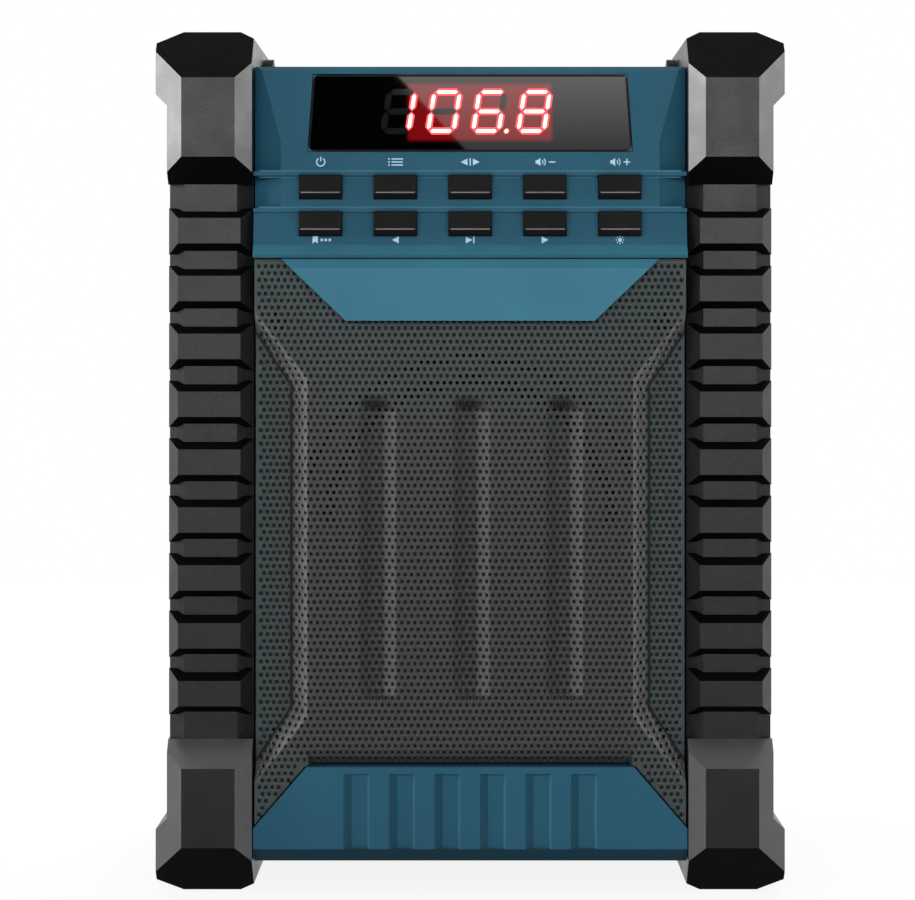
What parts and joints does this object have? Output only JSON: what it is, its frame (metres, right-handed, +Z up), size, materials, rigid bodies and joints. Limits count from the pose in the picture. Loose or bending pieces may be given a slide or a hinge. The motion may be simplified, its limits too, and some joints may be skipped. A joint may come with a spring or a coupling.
{
  "type": "jobsite radio",
  "caption": "Compact portable jobsite radio: blue housing between four treaded corner guards, perforated speaker face, lit display, push keys, carry handle and whip antenna.",
  "frame": {"origin": "bottom centre of the box round the whole radio, on the surface that it stands on", "axes": "+X to the right seen from the front, +Y into the depth (the front faces -Y), +Z up"},
  "size_m": [0.1748, 0.125, 0.24],
  "materials": {
    "shell_blue": "satin moulded",
    "guard_black": "satin moulded rubber",
    "seal_rubber": "matte",
    "grille_metal": "dark grey coat",
    "speaker_cloth": "open weave",
    "window_smoke": "dark gloss",
    "led_module": "lit red segments",
    "key_black": "satin",
    "board_green": "solder mask",
    "cone_paper": "pressed paper",
    "inner_steel": "plated",
    "black_plastic": "satin",
    "mast_chrome": "polished"
  },
  "bodies": {
    "housing": {"front_shell": "shell_blue", "rear_shell": "shell_blue", "nose_plate": "shell_blue", "upper_guard_left": "guard_black", "upper_guard_right": "guard_black", "lower_guard_left": "guard_black", "lower_guard_right": "guard_black", "front_post_left": "guard_black", "front_post_right": "guard_black", "rear_post_left": "guard_black", "rear_post_right": "guard_black", "shell_seal": "seal_rubber", "key_mat": "seal_rubber", "speaker_surround": "seal_rubber", "grille": "grille_metal", "grille_cloth": "speaker_cloth", "speaker_spider": "speaker_cloth", "display_window": "window_smoke", "display_module": "led_module", "control_board": "board_green", "main_board": "board_green", "speaker_basket": "inner_steel", "speaker_magnet": "inner_steel", "housing_screws": "inner_steel", "speaker_screws": "inner_steel", "battery_door_pin": "inner_steel", "antenna_pin": "inner_steel", "handle_pivots": "inner_steel", "usb_socket": "inner_steel", "battery_contacts": "inner_steel", "battery_pack": "black_plastic", "aux_socket": "black_plastic", "dc_socket": "black_plastic", "antenna_bracket": "black_plastic"},
    "button_power": {"button_power": "key_black"},
    "button_mode": {"button_mode": "key_black"},
    "button_scan": {"button_scan": "key_black"},
    "button_volume_down": {"button_volume_down": "key_black"},
    "button_volume_up": {"button_volume_up": "key_black"},
    "button_preset": {"button_preset": "key_black"},
    "button_previous": {"button_previous": "key_black"},
    "button_play": {"button_play": "key_black"},
    "button_next": {"button_next": "key_black"},
    "button_dimmer": {"button_dimmer": "key_black"},
    "speaker_cone": {"speaker_cone": "cone_paper", "dust_cap": "cone_paper", "voice_coil": "inner_steel"},
    "carry_handle": {"carry_handle": "black_plastic", "handle_grip": "seal_rubber"},
    "antenna_mast": {"antenna_base": "mast_chrome", "antenna_section_1": "mast_chrome"},
    "antenna_slide_2": {"antenna_section_2": "mast_chrome"},
    "antenna_slide_3": {"antenna_section_3": "mast_chrome"},
    "antenna_slide_4": {"antenna_section_4": "mast_chrome"},
    "antenna_slide_5": {"antenna_section_5": "mast_chrome", "antenna_tip": "black_plastic"},
    "battery_door": {"battery_door": "shell_blue"},
    "port_cover": {"port_cover": "seal_rubber"}
  },
  "joints": [
    {"name": "button_power_push", "type": "slide", "parent": "housing", "child": "button_power", "axis": [0, 1, 0], "range_m": [0, 0.0008], "stiffness_N_per_m": 1200},
    {"name": "button_mode_push", "type": "slide", "parent": "housing", "child": "button_mode", "axis": [0, 1, 0], "range_m": [0, 0.0008], "stiffness_N_per_m": 1200},
    {"name": "button_scan_push", "type": "slide", "parent": "housing", "child": "button_scan", "axis": [0, 1, 0], "range_m": [0, 0.0008], "stiffness_N_per_m": 1200},
    {"name": "button_volume_down_push", "type": "slide", "parent": "housing", "child": "button_volume_down", "axis": [0, 1, 0], "range_m": [0, 0.0008], "stiffness_N_per_m": 1200},
    {"name": "button_volume_up_push", "type": "slide", "parent": "housing", "child": "button_volume_up", "axis": [0, 1, 0], "range_m": [0, 0.0008], "stiffness_N_per_m": 1200},
    {"name": "button_preset_push", "type": "slide", "parent": "housing", "child": "button_preset", "axis": [0, 1, 0], "range_m": [0, 0.0008], "stiffness_N_per_m": 1200},
    {"name": "button_previous_push", "type": "slide", "parent": "housing", "child": "button_previous", "axis": [0, 1, 0], "range_m": [0, 0.0008], "stiffness_N_per_m": 1200},
    {"name": "button_play_push", "type": "slide", "parent": "housing", "child": "button_play", "axis": [0, 1, 0], "range_m": [0, 0.0008], "stiffness_N_per_m": 1200},
    {"name": "button_next_push", "type": "slide", "parent": "housing", "child": "button_next", "axis": [0, 1, 0], "range_m": [0, 0.0008], "stiffness_N_per_m": 1200},
    {"name": "button_dimmer_push", "type": "slide", "parent": "housing", "child": "button_dimmer", "axis": [0, 1, 0], "range_m": [0, 0.0008], "stiffness_N_per_m": 1200},
    {"name": "speaker_cone_drive", "type": "slide", "parent": "housing", "child": "speaker_cone", "axis": [0, 1, 0], "range_m": [-0.0015, 0.0015], "stiffness_N_per_m": 1500},
    {"name": "carry_handle_swing", "type": "hinge", "parent": "housing", "child": "carry_handle", "pos_m": [0, -0.0125, 0.2295], "axis": [1, 0, 0], "range_deg": [0, 98]},
    {"name": "antenna_tilt", "type": "hinge", "parent": "housing", "child": "antenna_mast", "pos_m": [-0.038, 0.0525, 0.1], "axis": [-1, 0, 0], "range_deg": [0, 90]},
    {"name": "antenna_extend", "type": "slide", "parent": "antenna_mast", "child": "antenna_slide_2", "axis": [0, 0, 1], "range_m": [0, 0.088]},
    {"name": "antenna_extend_3", "type": "slide", "parent": "antenna_slide_2", "child": "antenna_slide_3", "axis": [0, 0, 1], "range_m": [0, 0.088]},
    {"name": "antenna_extend_4", "type": "slide", "parent": "antenna_slide_3", "child": "antenna_slide_4", "axis": [0, 0, 1], "range_m": [0, 0.088]},
    {"name": "antenna_extend_5", "type": "slide", "parent": "antenna_slide_4", "child": "antenna_slide_5", "axis": [0, 0, 1], "range_m": [0, 0.088]},
    {"name": "battery_door_open", "type": "hinge", "parent": "housing", "child": "battery_door", "pos_m": [0, 0.0501, 0.026], "axis": [-1, 0, 0], "range_deg": [0, 100]},
    {"name": "port_cover_open", "type": "hinge", "parent": "housing", "child": "port_cover", "pos_m": [0.027, 0.0525, 0.1378], "axis": [-1, 0, 0], "range_deg": [0, 110]}
  ],
  "couplings": [
    {"joint": "antenna_extend_3", "follows": "antenna_extend", "ratio": 1},
    {"joint": "antenna_extend_4", "follows": "antenna_extend", "ratio": 1},
    {"joint": "antenna_extend_5", "follows": "antenna_extend", "ratio": 1}
  ]
}
